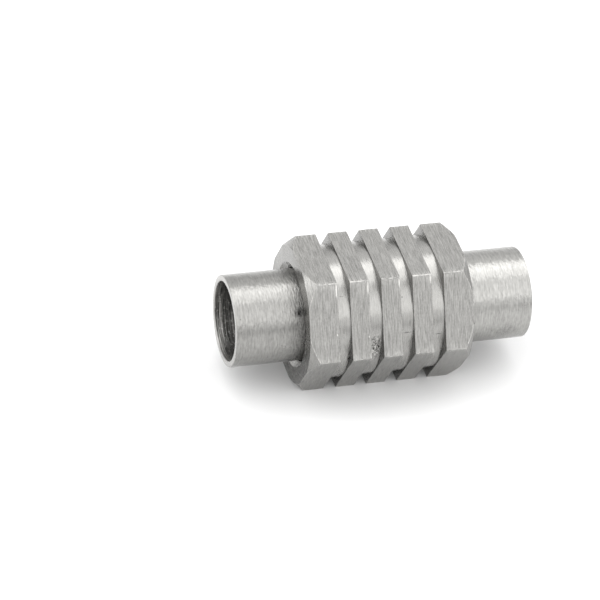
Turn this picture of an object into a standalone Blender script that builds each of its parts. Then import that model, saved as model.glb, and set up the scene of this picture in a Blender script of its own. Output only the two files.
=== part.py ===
"""Magnetic clasp for a round cord, lying closed on one flat of its hexagonal sleeve.

The clasp's axis runs along X, above the origin. The socket half is the sleeve with the tube and
magnet at its +X end. The plug half is the tube and magnet at the -X end, and it pulls out along -X.
The clasp stands on Z = 0, with the origin under the middle of its length.
"""
import math

import bmesh
import bpy
from mathutils import Matrix, Vector

MM = 0.001

# Whole clasp
CLASP_LENGTH = 20.0 * MM
PLUG_SHOWN = 4.44 * MM
SEAT_GAP = 0.3 * MM
ROUND_SIDES = 72
SHARP_ANGLE = math.radians(20.0)

# Sleeve, turned from hexagonal bar
ACROSS_FLATS = 8.85 * MM
SLEEVE_LENGTH = 11.0 * MM
GROOVE_COUNT = 4
GROOVE_WIDTH = 0.82 * MM
END_FLANGE = 1.94 * MM
CORE_RADIUS = 4.34 * MM
END_CIRCLE_RADIUS = 4.54 * MM
CONE_LENGTH = 0.50 * MM
MOUTH_RADIUS = 3.44 * MM
MOUTH_DEPTH = 0.50 * MM

# Tubes, both of one stock
TUBE_RADIUS = 3.0 * MM
TUBE_HOLE_RADIUS = 2.6 * MM
EDGE_BREAK = 0.07 * MM

# Disc magnets, flush with the inner ends of the tubes
MAGNET_THICKNESS = 2.5 * MM
MAGNET_EDGE_BREAK = 0.15 * MM

# Sizes that follow from those above
AXIS_HEIGHT = ACROSS_FLATS / 2
CORNER_RADIUS = AXIS_HEIGHT / math.cos(math.pi / 6)
BLANK_RADIUS = CORNER_RADIUS + 0.3 * MM
MIDDLE_FLANGE = (
    SLEEVE_LENGTH - 2 * END_FLANGE - GROOVE_COUNT * GROOVE_WIDTH
) / (GROOVE_COUNT - 1)
SLEEVE_START = -CLASP_LENGTH / 2 + PLUG_SHOWN
BORE_RADIUS = TUBE_RADIUS + SEAT_GAP
TUBE_LENGTH = (CLASP_LENGTH - SEAT_GAP) / 2
MAGNET_RADIUS = TUBE_HOLE_RADIUS - SEAT_GAP


def clear_scene():
    """Remove everything that the startup file brings."""
    for old in list(bpy.data.objects):
        bpy.data.objects.remove(old, do_unlink=True)


def metal(name, colour, roughness):
    """Return a bare metal finish."""
    finish = bpy.data.materials.new(name)
    finish.use_nodes = True
    shader = finish.node_tree.nodes["Principled BSDF"]
    shader.inputs["Base Color"].default_value = (*colour, 1.0)
    shader.inputs["Metallic"].default_value = 1.0
    shader.inputs["Roughness"].default_value = roughness
    return finish


def half(name):
    """Return the empty on the clasp's axis that carries one half."""
    empty = bpy.data.objects.new(name, None)
    empty.location = (0.0, 0.0, AXIS_HEIGHT)
    empty.empty_display_size = CLASP_LENGTH / 4
    bpy.context.scene.collection.objects.link(empty)
    return empty


def add_object(name, bm, carrier):
    """Store a bmesh as an object that hangs on its half's empty."""
    mesh = bpy.data.meshes.new(name)
    bm.to_mesh(mesh)
    bm.free()
    piece = bpy.data.objects.new(name, mesh)
    piece.parent = carrier
    bpy.context.scene.collection.objects.link(piece)
    return piece


def finish_piece(piece, finish):
    """Give a piece its finish, with round faces smooth and real edges sharp."""
    piece.data.materials.clear()
    piece.data.materials.append(finish)
    piece.data.shade_smooth()
    piece.data.set_sharp_from_angle(angle=SHARP_ANGLE)


def turn(outline):
    """Spin a closed outline of (along X, radius) points once round X."""
    bm = bmesh.new()
    corners = [bm.verts.new((along, 0.0, radius)) for along, radius in outline]
    sides = [bm.edges.new((corners[i - 1], corners[i])) for i in range(len(corners))]
    bmesh.ops.spin(
        bm,
        geom=corners + sides,
        cent=(0.0, 0.0, 0.0),
        axis=(1.0, 0.0, 0.0),
        angle=2 * math.pi,
        steps=ROUND_SIDES,
        use_merge=True,
    )
    bmesh.ops.recalc_face_normals(bm, faces=bm.faces)
    return bm


def sleeve_outline():
    """Return the turned section of the sleeve: end cones, grooves, bore and mouth."""
    cone_slope = CONE_LENGTH / (CORNER_RADIUS - END_CIRCLE_RADIUS)
    cone_reach = cone_slope * (BLANK_RADIUS - END_CIRCLE_RADIUS)
    outline = [(0.0, MOUTH_RADIUS), (0.0, END_CIRCLE_RADIUS), (cone_reach, BLANK_RADIUS)]
    for index in range(GROOVE_COUNT):
        near = END_FLANGE + index * (MIDDLE_FLANGE + GROOVE_WIDTH)
        far = near + GROOVE_WIDTH
        outline += [(near, BLANK_RADIUS), (near, CORE_RADIUS)]
        outline += [(far, CORE_RADIUS), (far, BLANK_RADIUS)]
    outline += [
        (SLEEVE_LENGTH - cone_reach, BLANK_RADIUS),
        (SLEEVE_LENGTH, END_CIRCLE_RADIUS),
        (SLEEVE_LENGTH, BORE_RADIUS),
        (MOUTH_DEPTH, BORE_RADIUS),
    ]
    return outline


def hexagonal_bar(carrier):
    """Return the bar whose six flats the sleeve keeps, two of them level."""
    bm = bmesh.new()
    bmesh.ops.create_cone(
        bm,
        cap_ends=True,
        segments=6,
        radius1=CORNER_RADIUS,
        radius2=CORNER_RADIUS,
        depth=CLASP_LENGTH,
    )
    lying = Matrix.Rotation(math.pi / 2, 3, "Y")
    bmesh.ops.rotate(bm, verts=bm.verts, cent=Vector(), matrix=lying)
    bar = add_object("hexagonal_bar", bm, carrier)
    bar.hide_render = True
    bar.display_type = "WIRE"
    return bar


def keep_common_shape(piece, other):
    """Cut a piece down to what it shares with another one, for good."""
    common = piece.modifiers.new("common_shape", "BOOLEAN")
    common.operation = "INTERSECT"
    common.solver = "EXACT"
    common.object = other
    evaluated = piece.evaluated_get(bpy.context.evaluated_depsgraph_get())
    cut = bpy.data.meshes.new_from_object(evaluated)
    piece.modifiers.clear()
    piece.data = cut
    bpy.data.objects.remove(other, do_unlink=True)


def make_sleeve(carrier, finish):
    """Cut the turned form out of the hexagonal bar."""
    sleeve = add_object("hex_sleeve", turn(sleeve_outline()), carrier)
    sleeve.location.x = SLEEVE_START
    keep_common_shape(sleeve, hexagonal_bar(carrier))
    finish_piece(sleeve, finish)
    return sleeve


def make_tube(name, carrier, finish):
    """Turn one tube that runs along +X from its inner end, with its rims broken."""
    outline = [
        (0.0, TUBE_HOLE_RADIUS + EDGE_BREAK),
        (0.0, TUBE_RADIUS - EDGE_BREAK),
        (EDGE_BREAK, TUBE_RADIUS),
        (TUBE_LENGTH - EDGE_BREAK, TUBE_RADIUS),
        (TUBE_LENGTH, TUBE_RADIUS - EDGE_BREAK),
        (TUBE_LENGTH, TUBE_HOLE_RADIUS + EDGE_BREAK),
        (TUBE_LENGTH - EDGE_BREAK, TUBE_HOLE_RADIUS),
        (EDGE_BREAK, TUBE_HOLE_RADIUS),
    ]
    tube = add_object(name, turn(outline), carrier)
    tube.location.x = SEAT_GAP / 2
    finish_piece(tube, finish)
    return tube


def make_magnet(name, carrier, finish):
    """Make one disc magnet with softened edges, flush with its tube's inner end."""
    bm = bmesh.new()
    bmesh.ops.create_cone(
        bm,
        cap_ends=True,
        segments=ROUND_SIDES,
        radius1=MAGNET_RADIUS,
        radius2=MAGNET_RADIUS,
        depth=MAGNET_THICKNESS,
    )
    rims = [edge for edge in bm.edges if abs(edge.verts[0].co.z - edge.verts[1].co.z) < EDGE_BREAK]
    bmesh.ops.bevel(
        bm,
        geom=rims,
        offset=MAGNET_EDGE_BREAK,
        segments=1,
        affect="EDGES",
        profile=0.5,
    )
    lying = Matrix.Rotation(math.pi / 2, 3, "Y")
    bmesh.ops.rotate(bm, verts=bm.verts, cent=Vector(), matrix=lying)
    magnet = add_object(name, bm, carrier)
    magnet.location.x = (SEAT_GAP + MAGNET_THICKNESS) / 2
    finish_piece(magnet, finish)
    return magnet


def face_other_way(piece):
    """Turn a piece of the socket's form half round, to face it from the plug's side."""
    piece.rotation_euler.z = math.pi
    piece.location.x = -piece.location.x


def main():
    clear_scene()
    steel = metal("stainless_steel", (0.62, 0.61, 0.59), 0.32)
    nickel = metal("magnet_plating", (0.66, 0.65, 0.62), 0.20)

    socket_half = half("socket_half")
    make_sleeve(socket_half, steel)
    make_tube("socket_tube", socket_half, steel)
    make_magnet("socket_magnet", socket_half, nickel)

    plug_half = half("plug_half")
    face_other_way(make_tube("plug_tube", plug_half, steel))
    face_other_way(make_magnet("plug_magnet", plug_half, nickel))


main()
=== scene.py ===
"""A magnetic clasp for a round cord, lying closed on one flat of its grooved hexagonal sleeve."""
import math

import bmesh
import bpy
from mathutils import Euler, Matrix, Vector


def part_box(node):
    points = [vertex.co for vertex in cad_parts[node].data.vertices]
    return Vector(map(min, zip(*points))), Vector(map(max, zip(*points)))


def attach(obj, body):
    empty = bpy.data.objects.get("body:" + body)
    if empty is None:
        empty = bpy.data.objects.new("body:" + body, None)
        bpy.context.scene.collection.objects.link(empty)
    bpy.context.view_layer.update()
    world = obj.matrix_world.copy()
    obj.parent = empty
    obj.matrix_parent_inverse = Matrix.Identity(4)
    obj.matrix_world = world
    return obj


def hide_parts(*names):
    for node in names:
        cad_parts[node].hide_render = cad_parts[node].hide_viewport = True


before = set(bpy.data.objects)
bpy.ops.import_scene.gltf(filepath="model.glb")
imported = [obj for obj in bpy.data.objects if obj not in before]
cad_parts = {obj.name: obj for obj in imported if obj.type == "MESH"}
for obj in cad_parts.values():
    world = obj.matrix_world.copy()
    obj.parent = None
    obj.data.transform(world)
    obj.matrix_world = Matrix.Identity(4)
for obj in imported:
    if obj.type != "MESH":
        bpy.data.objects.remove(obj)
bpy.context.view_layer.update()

# Sleeve. A length of hexagonal stainless bar, bored through and turned on a lathe: four square
# grooves down to a core that just clears the flats, a cone on each end and a countersunk mouth for
# the plug. The flats keep the bar's brushing, which runs across the clasp.
MM = 0.001
TOUCH = 0.002 * MM
WELD = TOUCH / 4
sleeve_low, sleeve_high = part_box("hex_sleeve")
AXIS_HEIGHT = (sleeve_low.z + sleeve_high.z) / 2
SLEEVE_START = sleeve_low.x
SLEEVE_END = sleeve_high.x
CORNER_RADIUS = (sleeve_high.y - sleeve_low.y) / 2
FLAT_DISTANCE = AXIS_HEIGHT - sleeve_low.z
BLANK_RADIUS = CORNER_RADIUS + 0.3 * MM
CORNER_ROUNDING = 0.05 * MM
TURNED_SIDES = 288

GROOVE_COUNT = 4
GROOVE_WIDTH = 0.82 * MM
END_FLANGE = 1.94 * MM
SHARED_LENGTH = SLEEVE_END - SLEEVE_START - 2 * END_FLANGE - GROOVE_COUNT * GROOVE_WIDTH
MIDDLE_FLANGE = SHARED_LENGTH / (GROOVE_COUNT - 1)
CORE_RADIUS = 4.34 * MM
END_CIRCLE_RADIUS = 4.54 * MM
CONE_LENGTH = 0.60 * MM
CONE_SLOPE = CONE_LENGTH / (CORNER_RADIUS - END_CIRCLE_RADIUS)
MOUTH_RADIUS = 3.44 * MM
MOUTH_DEPTH = 0.36 * MM
BORE_RADIUS = 3.3 * MM
LIP_RADIUS = 3.04 * MM
LIP_LENGTH = 1.0 * MM
THROAT_RADIUS = 3.08 * MM
THROAT_LENGTH = 1.6 * MM
EDGE_BREAK = 0.03 * MM
SQUARE_EDGE = math.radians(75.0)
SMOOTH_TURN = math.radians(32.0)


def across(point):
    """Distance of a point from the clasp's axis."""
    return math.hypot(point.y, point.z - AXIS_HEIGHT)


def add_round(name, sides, radius, start, end):
    """Add a cylinder along the clasp's axis, alone and active, and start to edit it."""
    bpy.ops.object.select_all(action="DESELECT")
    bpy.ops.mesh.primitive_cylinder_add(
        vertices=sides,
        radius=radius,
        depth=end - start,
        location=((start + end) / 2, 0.0, AXIS_HEIGHT),
        rotation=(0.0, math.pi / 2, 0.0),
    )
    piece = bpy.context.active_object
    piece.name = name
    piece.data.name = name
    bpy.ops.object.transform_apply(location=True, rotation=True, scale=True)
    bpy.ops.object.mode_set(mode="EDIT")
    return piece


def pick(kind, wanted):
    """In edit mode, select only the faces, edges or vertices that are wanted."""
    bpy.ops.mesh.select_mode(type=kind)
    bpy.ops.mesh.select_all(action="DESELECT")
    shape = bmesh.from_edit_mesh(bpy.context.active_object.data)
    parts = {"FACE": shape.faces, "EDGE": shape.edges, "VERT": shape.verts}[kind]
    for part in parts:
        part.select_set(bool(wanted(part)))
    shape.select_flush_mode()
    bmesh.update_edit_mesh(bpy.context.active_object.data)


def cut_round(place):
    """Cut a ring of edges round the piece at one place along the axis."""
    bpy.ops.mesh.select_all(action="SELECT")
    bpy.ops.mesh.bisect(plane_co=(place, 0.0, 0.0), plane_no=(1.0, 0.0, 0.0))


def scale_round(share):
    """Scale what is selected towards the axis, and not along it."""
    bpy.ops.transform.resize(value=(1.0, share, share), center_override=(0.0, 0.0, AXIS_HEIGHT))


def open_end(place, outer, rim, steps=()):
    """Open a round hole in the end face at one place. Each step goes in and to a new radius."""
    pick("FACE", lambda f: len(f.verts) > 4 and abs(f.calc_center_median().x - place) < TOUCH)
    bpy.ops.mesh.inset(thickness=outer - rim)
    radius = rim
    for inward, new_radius in steps:
        bpy.ops.mesh.extrude_region_move(TRANSFORM_OT_translate={"value": (inward, 0.0, 0.0)})
        scale_round(new_radius / radius)
        radius = new_radius
    bpy.ops.mesh.delete(type="FACE")


def join_holes():
    """Bridge the two open ends into one bore."""
    bpy.ops.mesh.select_mode(type="EDGE")
    bpy.ops.mesh.select_all(action="DESELECT")
    bpy.ops.mesh.select_non_manifold(use_wire=False, use_multi_face=False, use_non_contiguous=False)
    bpy.ops.mesh.bridge_edge_loops()


def apply_modifier(piece, kind, **settings):
    """Add one modifier to a piece with these settings and apply it."""
    bpy.ops.object.select_all(action="DESELECT")
    piece.select_set(True)
    bpy.context.view_layer.objects.active = piece
    modifier = piece.modifiers.new(kind.lower(), kind)
    for setting, value in settings.items():
        setattr(modifier, setting, value)
    bpy.ops.object.modifier_apply(modifier=modifier.name)


def finish_shape(piece):
    """Face all outwards, shade it smooth and keep the flat faces flat."""
    bpy.ops.object.mode_set(mode="EDIT")
    bpy.ops.mesh.select_all(action="SELECT")
    bpy.ops.mesh.normals_make_consistent(inside=False)
    bpy.ops.object.mode_set(mode="OBJECT")
    bpy.ops.object.shade_smooth_by_angle(angle=SMOOTH_TURN)
    apply_modifier(piece, "WEIGHTED_NORMAL", keep_sharp=True, weight=100)


def make_hexagonal_bar():
    """Make the bar that the sleeve is turned from, with its six long corners rounded."""
    bar = add_round("hexagonal_bar", 6, CORNER_RADIUS, SLEEVE_START - MM, SLEEVE_END + MM)
    pick("EDGE", lambda e: abs(e.verts[0].co.x - e.verts[1].co.x) > MM)
    bpy.ops.mesh.bevel(offset=CORNER_ROUNDING, segments=5, affect="EDGES")
    bpy.ops.object.mode_set(mode="OBJECT")
    return bar


def break_edges(piece):
    """Break the square outer edges and leave the inner corners sharp."""
    bpy.ops.object.select_all(action="DESELECT")
    piece.select_set(True)
    bpy.context.view_layer.objects.active = piece
    bpy.ops.object.mode_set(mode="EDIT")
    bpy.ops.mesh.select_all(action="SELECT")
    bpy.ops.mesh.remove_doubles(threshold=TOUCH)
    pick("EDGE", lambda e: e.is_manifold and e.calc_face_angle_signed() > SQUARE_EDGE)
    bpy.ops.mesh.bevel(offset=EDGE_BREAK, segments=3, affect="EDGES", clamp_overlap=False)
    bpy.ops.mesh.select_all(action="SELECT")
    bpy.ops.mesh.remove_doubles(threshold=WELD)
    bpy.ops.object.mode_set(mode="OBJECT")


def turn_sleeve():
    """Turn the cones, the grooves and the bore, then keep the six flats of the bar."""
    sleeve = add_round("sleeve", TURNED_SIDES, BLANK_RADIUS, SLEEVE_START, SLEEVE_END)
    cone_reach = CONE_SLOPE * (BLANK_RADIUS - END_CIRCLE_RADIUS)
    for end, inward in ((SLEEVE_START, cone_reach), (SLEEVE_END, -cone_reach)):
        cut_round(end + inward)
        pick("VERT", lambda v: abs(v.co.x - end) < TOUCH)
        scale_round(END_CIRCLE_RADIUS / BLANK_RADIUS)
    for index in range(GROOVE_COUNT):
        near = SLEEVE_START + END_FLANGE + index * (MIDDLE_FLANGE + GROOVE_WIDTH)
        far = near + GROOVE_WIDTH
        cut_round(near)
        cut_round(far)
        pick("FACE", lambda f: near < f.calc_center_median().x < far)
        bpy.ops.mesh.extrude_region()
        scale_round(CORE_RADIUS / BLANK_RADIUS)
    throat = [(MOUTH_DEPTH, THROAT_RADIUS), (THROAT_LENGTH, THROAT_RADIUS), (TOUCH, BORE_RADIUS)]
    open_end(SLEEVE_START, END_CIRCLE_RADIUS, MOUTH_RADIUS, throat)
    lip = [(-LIP_LENGTH, LIP_RADIUS), (-TOUCH, BORE_RADIUS)]
    open_end(SLEEVE_END, END_CIRCLE_RADIUS, LIP_RADIUS, lip)
    join_holes()
    bpy.ops.mesh.select_all(action="SELECT")
    bpy.ops.mesh.remove_doubles(threshold=WELD)
    bpy.ops.mesh.normals_make_consistent(inside=False)
    bpy.ops.object.mode_set(mode="OBJECT")
    bar = make_hexagonal_bar()
    apply_modifier(sleeve, "BOOLEAN", operation="INTERSECT", solver="EXACT", object=bar)
    bpy.data.objects.remove(bar, do_unlink=True)
    break_edges(sleeve)
    finish_shape(sleeve)
    return sleeve


def add_node(tree, kind, inputs=None, **settings):
    """Add a shader node with these settings. A socket given as an input is linked."""
    made = tree.nodes.new("ShaderNode" + kind)
    for setting, value in settings.items():
        setattr(made, setting, value)
    for place, value in (inputs or {}).items():
        if isinstance(value, bpy.types.NodeSocket):
            tree.links.new(value, made.inputs[place])
        else:
            made.inputs[place].default_value = value
    return made


def start_metal(name):
    """Start a metal, with its places as they are."""
    metal = bpy.data.materials.new(name)
    metal.use_nodes = True
    tree = metal.node_tree
    shader = tree.nodes["Principled BSDF"]
    shader.inputs["Metallic"].default_value = 1.0
    return metal, tree, shader, add_node(tree, "TexCoord").outputs["Object"]


def start_turned_metal(name, radius):
    """Start a metal with its places unrolled: along the axis, round it from the top, and out."""
    metal, tree, shader, seen = start_metal(name)
    centred = add_node(tree, "Mapping", {"Vector": seen, "Location": (0.0, 0.0, -AXIS_HEIGHT)})
    split = add_node(tree, "SeparateXYZ", {"Vector": centred.outputs["Vector"]}).outputs
    turn = add_node(tree, "Math", {0: split["Y"], 1: split["Z"]}, operation="ARCTAN2")
    arc = add_node(tree, "Math", {0: turn.outputs["Value"], 1: radius}, operation="MULTIPLY")
    level = add_node(tree, "CombineXYZ", {"Y": split["Y"], "Z": split["Z"]})
    out = add_node(tree, "VectorMath", {0: level.outputs["Vector"]}, operation="LENGTH")
    place = {"X": split["X"], "Y": arc.outputs["Value"], "Z": out.outputs["Value"]}
    return metal, tree, shader, add_node(tree, "CombineXYZ", place).outputs["Vector"]


def streaks(tree, place, width, length, detail=2.0, turn=0.0):
    """Noise in streaks of this width and length that run round the axis, or a little turned."""
    laid = add_node(
        tree,
        "Mapping",
        {"Vector": place, "Rotation": (0.0, 0.0, turn), "Scale": (width, length, width)},
        vector_type="TEXTURE",
    )
    noise = {"Vector": laid.outputs["Vector"], "Scale": 1.0, "Detail": detail, "Roughness": 0.55}
    return add_node(tree, "TexNoise", noise).outputs["Fac"]


def spread(tree, value, low, high, bottom=0.3, top=0.7):
    """Map a value's range, at first a noise's usual one, to the range from low to high."""
    ends = {"Value": value, "From Min": bottom, "From Max": top, "To Min": low, "To Max": high}
    return add_node(tree, "MapRange", ends).outputs["Result"]


def weigh(tree, *shares):
    """Add values up, each by its share."""
    total = 0.0
    for value, share in shares:
        inputs = {0: value, 1: share, 2: total}
        total = add_node(tree, "Math", inputs, operation="MULTIPLY_ADD").outputs["Value"]
    return total


def multiply(tree, first, second):
    """Multiply two values."""
    return add_node(tree, "Math", {0: first, 1: second}, operation="MULTIPLY").outputs["Value"]


def ragged(tree, place, size, reach):
    """The place pushed about by noise, which gives marks a ragged outline."""
    noise = add_node(tree, "TexNoise", {"Vector": place, "Scale": 1.0 / size, "Detail": 2.0})
    push = add_node(
        tree, "VectorMath", {0: noise.outputs["Color"], 1: (0.5, 0.5, 0.5)}, operation="SUBTRACT"
    )
    moved = {0: push.outputs["Vector"], 1: (reach, reach, reach), 2: place}
    return add_node(tree, "VectorMath", moved, operation="MULTIPLY_ADD").outputs["Vector"]


def marks(tree, place, radius, spots):
    """Soft marks, each of x, the surface's angle there (90 on top, 0 in front), width and height."""
    covered = 0.0
    for along, angle, width, height in spots:
        centre = (along * MM, math.radians(angle - 90.0) * radius, 0.0)
        laid = {"Vector": place, "Location": centre, "Scale": (width * MM / 2, height * MM / 2, 1.0)}
        within = add_node(tree, "Mapping", laid, vector_type="TEXTURE").outputs["Vector"]
        away = add_node(tree, "VectorMath", {0: within}, operation="LENGTH").outputs["Value"]
        mark = spread(tree, away, 1.0, 0.0, 0.3, 1.0)
        covered = add_node(tree, "Math", {0: mark, 1: covered}, operation="MAXIMUM").outputs["Value"]
    return covered


def tint(tree, shader, steel, shade):
    """Set the steel's colour, made lighter and darker by a shade."""
    shaded = add_node(tree, "VectorMath", {0: steel, "Scale": shade}, operation="SCALE")
    tree.links.new(shaded.outputs["Vector"], shader.inputs["Base Color"])


def draw_out_shine(tree, shader, amount):
    """Draw the shine out along the clasp, as scratches that run round the axis do."""
    round_axis = add_node(tree, "Tangent", direction_type="RADIAL", axis="X")
    tree.links.new(round_axis.outputs["Tangent"], shader.inputs["Tangent"])
    shader.inputs["Anisotropic"].default_value = amount
    shader.inputs["Anisotropic Rotation"].default_value = 0.25


def press(tree, shader, height, depth):
    """Press a height into the surface, this deep in metres."""
    bump = add_node(tree, "Bump", {"Height": height, "Distance": depth, "Strength": 1.0})
    tree.links.new(bump.outputs["Normal"], shader.inputs["Normal"])


STEEL = (0.30, 0.296, 0.285)
# Bright spots on the flats' edges: partly rubbed wear, partly painted edge highlights.
RUBBED_AND_HIGHLIGHT_SPOTS = (
    (-3.69, 55.0, 0.19, 1.00),
    (-1.59, 55.5, 0.18, 0.90),
    (0.51, 56.5, 0.17, 0.60),
    (2.61, 57.0, 0.17, 0.60),
    (-3.76, 20.0, 0.09, 0.16),
    (-1.66, 16.0, 0.10, 0.15),
    (5.06, 3.5, 0.26, 0.20),
    (5.20, 5.5, 0.14, 0.70),
)
GROOVE_SCARS = (
    (-1.10, 3.0, 1.10, 2.4),
    (-2.84, -4.0, 0.20, 1.4),
    (0.68, -3.0, 0.16, 1.3),
)
GROOVE_PITS = (
    (0.72, 46.0, 0.14, 0.20),
    (0.96, 15.0, 0.62, 0.10),
    (3.10, 10.5, 0.62, 0.10),
    (-1.36, 11.7, 0.22, 0.18),
    (-3.28, 51.5, 0.36, 0.07),
)


def brushed_flats():
    """The bar's own flats: fine straight brushing across the clasp, with rubbed corners, and edges
    painted brighter, partly as wear and partly as painted edge highlights.
    """
    metal, tree, shader, place = start_turned_metal("brushed_flats", FLAT_DISTANCE)
    parts = add_node(tree, "SeparateXYZ", {"Vector": place}).outputs
    flattened = {"Vector": place, "Scale": (1.0, 1.0, 0.0)}
    place = add_node(tree, "Mapping", flattened).outputs["Vector"]
    lines = streaks(tree, place, 0.09 * MM, 1.7 * MM)
    hairs = streaks(tree, place, 0.06 * MM, 0.8 * MM, detail=1.0)
    stray = streaks(tree, place, 0.05 * MM, 1.4 * MM, turn=0.16)
    specks = streaks(tree, place, 0.08 * MM, 0.16 * MM)
    clouds = streaks(tree, place, 1.2 * MM, 2.4 * MM)
    strokes = weigh(tree, (lines, 0.35), (hairs, 0.55), (stray, 0.15), (specks, 0.30))
    grain = weigh(tree, (strokes, 1.0), (clouds, 0.08), (1.0, -0.215))
    sixth = math.pi / 6 * FLAT_DISTANCE
    shifted = add_node(tree, "Math", {0: parts["Y"], 1: sixth}, operation="ADD").outputs["Value"]
    to_corner = add_node(tree, "Math", {0: shifted, 1: sixth}, operation="PINGPONG").outputs["Value"]
    by_corner = spread(tree, to_corner, 1.0, 0.0, 0.0, 0.36 * MM)
    tick_noise = streaks(tree, place, 0.09 * MM, 0.30 * MM)
    ticks = spread(tree, tick_noise, 0.0, 1.0, 0.48, 0.62)
    middle = (SLEEVE_START + SLEEVE_END) / 2
    centred = add_node(tree, "Math", {0: parts["X"], 1: middle}, operation="SUBTRACT").outputs["Value"]
    along = add_node(tree, "Math", {0: centred}, operation="ABSOLUTE").outputs["Value"]
    # Brighter along the edge where the flats meet the cones: partly wear, partly a painted highlight in
    # place of a rounded edge.
    cone_top = SLEEVE_END - middle + CONE_SLOPE * END_CIRCLE_RADIUS
    to_cone = weigh(tree, (along, -1.0), (parts["Z"], -CONE_SLOPE), (1.0, cone_top))
    cone_edge_wear_and_highlight = spread(tree, to_cone, 1.0, 0.0, 0.0, 0.09 * MM)
    rubs = multiply(tree, cone_edge_wear_and_highlight, spread(tree, tick_noise, 0.0, 1.0, 0.34, 0.68))
    spots = marks(tree, ragged(tree, place, 0.12 * MM, 0.08 * MM), FLAT_DISTANCE, RUBBED_AND_HIGHLIGHT_SPOTS)
    rubbed = weigh(tree, (multiply(tree, by_corner, ticks), 0.60), (spots, 1.10), (rubs, 0.90))
    tint(tree, shader, STEEL, weigh(tree, (spread(tree, grain, 0.64, 1.42), 1.0), (rubbed, 1.0)))
    tree.links.new(spread(tree, lines, 0.30, 0.42), shader.inputs["Roughness"])
    draw_out_shine(tree, shader, 0.7)
    press(tree, shader, grain, 0.005 * MM)
    return metal


def turned_steel(name, darkest, brightest, darkening):
    """Grooves and cones: bright rings left by the tool, with chatter, scars and pits, and painted shade
    darkening the corner where each groove meets the next flange.
    """
    metal, tree, shader, place = start_turned_metal(name, CORE_RADIUS)
    along = add_node(tree, "SeparateXYZ", {"Vector": place}).outputs["X"]
    first_corner = SLEEVE_START + END_FLANGE + GROOVE_WIDTH
    beyond = add_node(tree, "Math", {0: along, 1: first_corner}, operation="SUBTRACT").outputs["Value"]
    half_pitch = (MIDDLE_FLANGE + GROOVE_WIDTH) / 2
    to_corner = add_node(tree, "Math", {0: beyond, 1: half_pitch}, operation="PINGPONG").outputs["Value"]
    # Painted shade: darker near the corner where each groove's floor meets the next flange, where shade
    # falls.
    painted_corner_shade = spread(tree, to_corner, 1.0, 0.0, 0.0, 0.11 * MM)
    rings = streaks(tree, place, 0.07 * MM, 1.4 * MM)
    chatter = streaks(tree, place, 0.09 * MM, 0.38 * MM)
    uneven = ragged(tree, place, 0.10 * MM, 0.13 * MM)
    scars = marks(tree, uneven, CORE_RADIUS, GROOVE_SCARS)
    pits = marks(tree, uneven, CORE_RADIUS, GROOVE_PITS)
    speckle = streaks(tree, place, 0.10 * MM, 0.10 * MM, detail=3.0)
    scarred = multiply(tree, scars, spread(tree, speckle, -1.1, 0.7, 0.38, 0.62))
    tooled = weigh(tree, (rings, 0.6), (chatter, 0.4))
    # The painted corner shade is taken off the colour together with the pits.
    dark = weigh(tree, (pits, 0.6), (painted_corner_shade, darkening))
    shade = weigh(tree, (spread(tree, tooled, darkest, brightest), 1.0), (scarred, 1.0), (dark, -1.0))
    tint(tree, shader, STEEL, shade)
    tree.links.new(spread(tree, rings, 0.22, 0.33), shader.inputs["Roughness"])
    draw_out_shine(tree, shader, 0.7)
    height = weigh(tree, (rings, 0.2), (chatter, 1.0), (scarred, 0.6), (pits, -0.5))
    press(tree, shader, height, 0.013 * MM)
    return metal


def faced_end():
    """The two end faces and the mouth's countersink: finer rings, and greyer."""
    metal, tree, shader, place = start_turned_metal("faced_end", CORE_RADIUS)
    rings = streaks(tree, place, 0.06 * MM, 1.8 * MM)
    clouds = streaks(tree, place, 0.4 * MM, 0.5 * MM)
    tint(tree, shader, STEEL, spread(tree, weigh(tree, (rings, 0.5), (clouds, 0.5)), 0.66, 1.02))
    tree.links.new(spread(tree, clouds, 0.20, 0.32), shader.inputs["Roughness"])
    draw_out_shine(tree, shader, 0.4)
    press(tree, shader, rings, 0.003 * MM)
    return metal


def worn_corner():
    """The rounded long corners and the broken edges, rubbed brighter in places."""
    metal, tree, shader, place = start_turned_metal("worn_corner", FLAT_DISTANCE)
    rubs = streaks(tree, place, 0.22 * MM, 0.22 * MM)
    tint(tree, shader, STEEL, spread(tree, rubs, 0.7, 1.7))
    tree.links.new(spread(tree, rubs, 0.46, 0.26), shader.inputs["Roughness"])
    press(tree, shader, rubs, 0.01 * MM)
    return metal


def bore_painted_dark_with_glints(name, radius, depth):
    """The inside of a bore: its steel painted darker as painted shade, with the drill's rings and a few
    flecks painted bright as painted glints, and no seam below.
    """
    metal, tree, shader, place = start_turned_metal(name, radius)
    place = add_node(tree, "VectorMath", {0: place}, operation="ABSOLUTE").outputs["Vector"]
    rings = streaks(tree, place, 0.15 * MM, 3.0 * MM)
    flecks = streaks(tree, place, 0.12 * MM, 0.2 * MM)
    # Painted shade and glints: mostly darker than the outside steel, with rings painted up to twice as
    # bright and flecks brighter still.
    bright = spread(tree, rings, 0.45, 2.10, 0.47, 0.64)
    painted_glints = spread(tree, flecks, 0.0, 1.2, 0.58, 0.68)
    tint(tree, shader, STEEL, weigh(tree, (bright, 1.0), (painted_glints, 1.0)))
    tree.links.new(spread(tree, rings, 0.50, 0.32), shader.inputs["Roughness"])
    press(tree, shader, rings, depth)
    return metal


SIDE_TURN = 60.0
SIDE_SLACK = 0.5
LEAN_SLACK = 0.01
CONE_SLACK = 0.02


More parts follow.
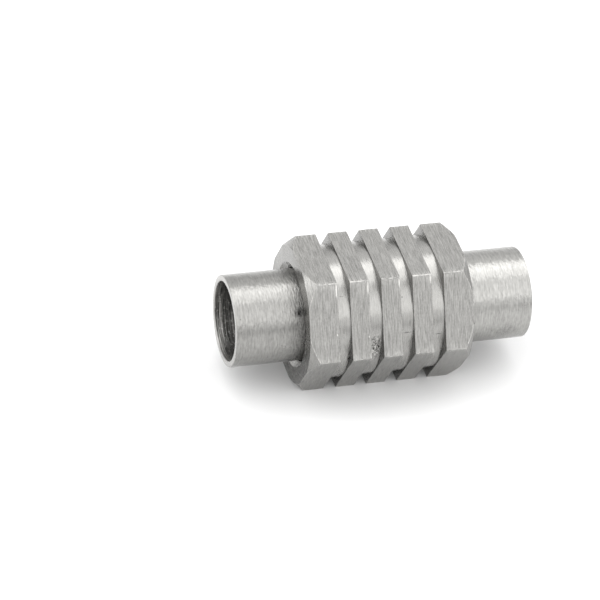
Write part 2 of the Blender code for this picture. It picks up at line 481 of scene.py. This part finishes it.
def paint_sleeve(sleeve):
    """Give the flats, the turned faces and the worn edges their own finish."""
    finishes = (
        brushed_flats(),
        # The grooves' copy of the turned steel is painted lighter than the cones' copy: painted light
        # and shade on one finish. The grooves also get painted shade in their corners.
        turned_steel("turned_grooves", 0.90, 1.32, 0.45),
        turned_steel("turned_cones", 0.70, 1.06, 0.0),
        faced_end(),
        worn_corner(),
        bore_painted_dark_with_glints("sleeve_bore", BORE_RADIUS, 0.01 * MM),
    )
    for metal in finishes:
        sleeve.data.materials.append(metal)
    flat, turned, cone, faced, worn, bore = range(len(finishes))
    cone_lean = Vector((CORNER_RADIUS - END_CIRCLE_RADIUS, CONE_LENGTH)).normalized().x
    for face in sleeve.data.polygons:
        normal = face.normal
        lean = abs(normal.x)
        side = math.degrees(math.atan2(normal.z, normal.y)) % SIDE_TURN
        reach = across(face.center)
        from_end = min(face.center.x - SLEEVE_START, SLEEVE_END - face.center.x)
        on_skin = reach > CORE_RADIUS + 2 * TOUCH
        lies_along = lean < LEAN_SLACK
        faces_end = lean > 1.0 - LEAN_SLACK
        if reach < MOUTH_RADIUS and face.center.x < SLEEVE_START + MOUTH_DEPTH - TOUCH:
            face.material_index = faced
        elif reach < BORE_RADIUS + TOUCH:
            face.material_index = bore
        elif on_skin and lies_along and abs(side - SIDE_TURN / 2) < SIDE_SLACK:
            face.material_index = flat
        elif on_skin and lies_along:
            face.material_index = worn
        elif faces_end and from_end < TOUCH:
            face.material_index = faced
        elif lies_along or faces_end:
            face.material_index = turned
        elif abs(lean - cone_lean) < CONE_SLACK:
            face.material_index = cone
        else:
            face.material_index = worn


sleeve = turn_sleeve()
paint_sleeve(sleeve)
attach(sleeve, "socket")
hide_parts("hex_sleeve")

# Socket tube. A plain length of stainless tube pressed into the right end of the sleeve. Its rims
# are lightly broken, it is brushed round and round, and the cord is glued into its outer end.
TUBE_SIDES = 192
TUBE_WALL = 0.4 * MM
RIM_BREAK = 0.07 * MM
RIM_LEAN = 0.95
BRIGHT_STEEL = (0.36, 0.356, 0.343)
# Painted highlight: the rims' steel is brighter than the tubes'.
RIM_STEEL_PAINTED_BRIGHT = (0.44, 0.435, 0.42)
SOCKET_FLECKS = (
    (5.98, 4.0, 0.24, 0.26),
    (5.88, 33.0, 0.20, 0.22),
)
SOCKET_GRIME = ((8.20, -14.0, 2.20, 1.60),)


def make_tube(name, node):
    """Make a tube as long and as wide as its solid, open from end to end."""
    low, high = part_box(node)
    outer = (high.z - low.z) / 2
    inner = outer - TUBE_WALL
    tube = add_round(name, TUBE_SIDES, outer, low.x, high.x)
    for end in (low.x, high.x):
        open_end(end, outer, inner)
    join_holes()
    pick("EDGE", lambda e: is_ring(e) and min(e.verts[0].co.x - low.x, high.x - e.verts[0].co.x) < TOUCH)
    bpy.ops.mesh.bevel(offset=RIM_BREAK, segments=3, affect="EDGES")
    bpy.ops.object.mode_set(mode="OBJECT")
    finish_shape(tube)
    return tube


def is_ring(edge):
    """Whether an edge runs round the axis."""
    start, end = (vertex.co for vertex in edge.verts)
    return abs(start.x - end.x) < TOUCH and abs(across(start) - across(end)) < TOUCH


def brushed_tube(name, steel, radius, flecks, darkening):
    """Brushed round the tube in short strokes, with dark spots and a darker patch: grime on the socket's
    tube, painted shade where the plug's tube enters the sleeve.
    """
    metal, tree, shader, place = start_turned_metal(name, radius)
    lines = streaks(tree, place, 0.10 * MM, 1.6 * MM)
    hairs = streaks(tree, place, 0.06 * MM, 0.6 * MM, detail=1.0)
    strokes = streaks(tree, place, 0.12 * MM, 0.36 * MM)
    clouds = streaks(tree, place, 0.9 * MM, 0.9 * MM)
    uneven = ragged(tree, place, 0.14 * MM, 0.10 * MM)
    pits = streaks(tree, place, 0.13 * MM, 0.16 * MM)
    # The darker patch: grime on the socket's tube, and painted shade on the plug's tube beside the
    # sleeve.
    grime_and_shade = multiply(tree, marks(tree, uneven, radius, darkening), spread(tree, pits, 0.0, 0.34))
    dirt_and_shade = weigh(
        tree,
        (marks(tree, uneven, radius, flecks), 0.56),
        (grime_and_shade, 1.0),
        (spread(tree, pits, 0.0, 1.0, 0.72, 0.80), 0.25),
    )
    brushing = weigh(tree, (lines, 0.3), (hairs, 0.3), (strokes, 0.30), (clouds, 0.10))
    tint(tree, shader, steel, weigh(tree, (spread(tree, brushing, 0.62, 1.38), 1.0), (dirt_and_shade, -1.0)))
    tree.links.new(spread(tree, clouds, 0.27, 0.33), shader.inputs["Roughness"])
    draw_out_shine(tree, shader, 0.8)
    press(tree, shader, weigh(tree, (strokes, 1.0), (hairs, 0.5), (dirt_and_shade, -0.1)), 0.031 * MM)
    return metal


def rim_painted_bright(name, radius):
    """The flat rim of a tube, its steel painted brighter than the tube's: a painted highlight where the
    rim catches the light.
    """
    metal, tree, shader, place = start_turned_metal(name, radius)
    rings = streaks(tree, place, 0.06 * MM, 1.0 * MM)
    tint(tree, shader, RIM_STEEL_PAINTED_BRIGHT, spread(tree, rings, 0.85, 1.12))
    tree.links.new(spread(tree, rings, 0.2, 0.3), shader.inputs["Roughness"])
    press(tree, shader, rings, 0.004 * MM)
    return metal


def paint_tube(tube, node, steel, flecks, darkening):
    """Give the outer wall, the bore and the two flat rims of a tube their own finish."""
    low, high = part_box(node)
    outer = (high.z - low.z) / 2
    inner = outer - TUBE_WALL
    tube.data.materials.append(brushed_tube(node + "_brushed", steel, outer, flecks, darkening))
    tube.data.materials.append(bore_painted_dark_with_glints(node + "_bore", inner, 0.04 * MM))
    tube.data.materials.append(rim_painted_bright(node + "_rim", outer))
    bore, rim = 1, 2
    for face in tube.data.polygons:
        if abs(face.normal.x) > RIM_LEAN:
            face.material_index = rim
        elif across(face.center) < inner + TOUCH:
            face.material_index = bore


socket_tube = make_tube("cord_tube_of_socket", "socket_tube")
paint_tube(socket_tube, "socket_tube", BRIGHT_STEEL, SOCKET_FLECKS, SOCKET_GRIME)
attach(socket_tube, "socket")
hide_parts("socket_tube")

# Socket magnet. A nickel-plated disc magnet glued into the inner end of the socket tube, where it
# meets the plug's own. In the closed clasp only its outer face shows, deep down the cord hole.
MAGNET_SIDES = 96
MAGNET_ROUNDING = 0.15 * MM
NICKEL = (0.60, 0.585, 0.55)


def make_magnet(name, node):
    """Make a disc as large as its solid, with rounded rims."""
    low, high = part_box(node)
    magnet = add_round(name, MAGNET_SIDES, (high.z - low.z) / 2, low.x, high.x)
    pick("EDGE", is_ring)
    bpy.ops.mesh.bevel(offset=MAGNET_ROUNDING, segments=4, affect="EDGES")
    bpy.ops.object.mode_set(mode="OBJECT")
    finish_shape(magnet)
    return magnet


def plated_nickel(name):
    """Satin nickel plating, cloudy, with a few fine scratches."""
    metal, tree, shader, place = start_metal(name)
    clouds = streaks(tree, place, 1.1 * MM, 1.1 * MM)
    scratches = streaks(tree, place, 0.05 * MM, 1.5 * MM)
    tint(tree, shader, NICKEL, spread(tree, weigh(tree, (clouds, 0.6), (scratches, 0.4)), 0.88, 1.08))
    tree.links.new(spread(tree, clouds, 0.20, 0.34), shader.inputs["Roughness"])
    press(tree, shader, scratches, 0.003 * MM)
    return metal


socket_magnet = make_magnet("disc_magnet_of_socket", "socket_magnet")
socket_magnet.data.materials.append(plated_nickel("socket_magnet_plating"))
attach(socket_magnet, "socket")
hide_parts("socket_magnet")

# Plug tube. The same stock as the socket's, running free in the sleeve's bore. It is duller and
# carries a dark spot near the sleeve, and a band painted darker where it enters the sleeve, which is
# painted shade.
# Dark spots on the plug tube. The first, large one only darkens the tube beside the sleeve.
PLUG_DARK_SPOTS = (
    (-5.74, 42.0, 1.04, 0.96),
    (-9.70, 41.0, 0.07, 0.08),
    (-8.32, 35.0, 0.06, 0.07),
)
# Painted shade: a darker band round the plug tube where it enters the sleeve, in place of the sleeve's
# shade on it.
PLUG_SLEEVE_SHADE = (
    (-5.60, 20.0, 1.90, 12.0),
    (-5.90, 42.0, 1.20, 1.00),
)

plug_tube = make_tube("cord_tube_of_plug", "plug_tube")
paint_tube(plug_tube, "plug_tube", STEEL, PLUG_DARK_SPOTS, PLUG_SLEEVE_SHADE)
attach(plug_tube, "plug")
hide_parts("plug_tube")

# Plug magnet. The mate of the socket's and the same nickel-plated disc, glued into the inner end of
# the plug tube. Its inner face shows when the plug is out.
plug_magnet = make_magnet("disc_magnet_of_plug", "plug_magnet")
plug_magnet.data.materials.append(plated_nickel("plug_magnet_plating"))
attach(plug_magnet, "plug")
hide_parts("plug_magnet")

# Floor. A pale matt sheet that the clasp lies on.
FLOOR_WIDTH = 3.0
FLOOR_WHITE = 0.68
FLOOR_ROUGHNESS = 0.9
bpy.ops.object.select_all(action="DESELECT")
bpy.ops.mesh.primitive_plane_add(size=FLOOR_WIDTH, location=(0.0, 0.0, sleeve_low.z - TOUCH))
floor = bpy.context.active_object
floor.name = "floor"
paper = bpy.data.materials.new("white_paper")
paper.use_nodes = True
paper_shader = paper.node_tree.nodes["Principled BSDF"]
paper_shader.inputs["Base Color"].default_value = (FLOOR_WHITE, FLOOR_WHITE, FLOOR_WHITE, 1.0)
paper_shader.inputs["Roughness"].default_value = FLOOR_ROUGHNESS
floor.data.materials.append(paper)

# Light. A pale studio with an arch of soft boxes over the clasp, from low in front to far at the
# back, brightest a little behind the top, and one more beside the plug's end. Each box of the arch
# is from one height to another, in degrees from the front horizon up and over, and how bright.
STUDIO_STRENGTH = 1.0
ARCH = (
    (10.0, 26.0, 0.42),
    (26.0, 44.0, 1.05),
    (44.0, 62.0, 0.94),
    (62.0, 82.0, 0.75),
    (82.0, 102.0, 1.49),
    (102.0, 124.0, 2.05),
    (124.0, 150.0, 0.33),
)
world = bpy.data.worlds.new("studio")
world.use_nodes = True
background = world.node_tree.nodes["Background"]
background.inputs["Color"].default_value = (1.0, 1.0, 1.0, 1.0)
background.inputs["Strength"].default_value = STUDIO_STRENGTH
bpy.context.scene.world = world


def soft_box(name, low_edge, high_edge, distance, width, radiance, side=0.0):
    """Hang a soft box that reaches from one height to another, seen from the clasp."""
    height = math.radians((low_edge + high_edge) / 2)
    depth = 2 * distance * math.tan(math.radians(high_edge - low_edge) / 2)
    data = bpy.data.lights.new(name, "AREA")
    data.shape = "RECTANGLE"
    data.size = width
    data.size_y = depth
    data.energy = radiance * math.pi * width * depth
    light = bpy.data.objects.new(name, data)
    turn = math.radians(side)
    reach = distance * math.cos(height)
    light.location = (-reach * math.sin(turn), -reach * math.cos(turn), distance * math.sin(height))
    light.rotation_euler = (math.pi / 2 - height, 0.0, -turn)
    bpy.context.scene.collection.objects.link(light)


for low_edge, high_edge, radiance in ARCH:
    soft_box("arch_box", low_edge, high_edge, distance=0.44, width=1.6, radiance=radiance)
soft_box("side_box", low_edge=20.0, high_edge=65.0, distance=0.45, width=0.35, radiance=0.9, side=88.0)

# Camera. Above and in front of the plug's end, at the photograph's angle, with a long lens.
CAMERA_PLACE = (-57.67 * MM, -144.62 * MM, 130.22 * MM)
VIEW_DOWN = math.radians(39.005)
VIEW_ROUND = math.radians(-19.996)
VIEW_ROLL = math.radians(7.124)
LENS = 184.0
camera_data = bpy.data.cameras.new("camera")
camera_data.lens = LENS
camera_data.sensor_width = 36.0
camera_data.clip_start = 1.0 * MM
camera = bpy.data.objects.new("camera", camera_data)
camera.location = CAMERA_PLACE
looking = Euler((math.pi / 2 - VIEW_DOWN, 0.0, VIEW_ROUND), "XYZ").to_matrix()
rolled = Euler((0.0, 0.0, VIEW_ROLL), "XYZ").to_matrix()
camera.rotation_euler = (looking @ rolled).to_euler()
bpy.context.scene.collection.objects.link(camera)
bpy.context.scene.camera = camera
bpy.context.scene.view_settings.view_transform = "Standard"
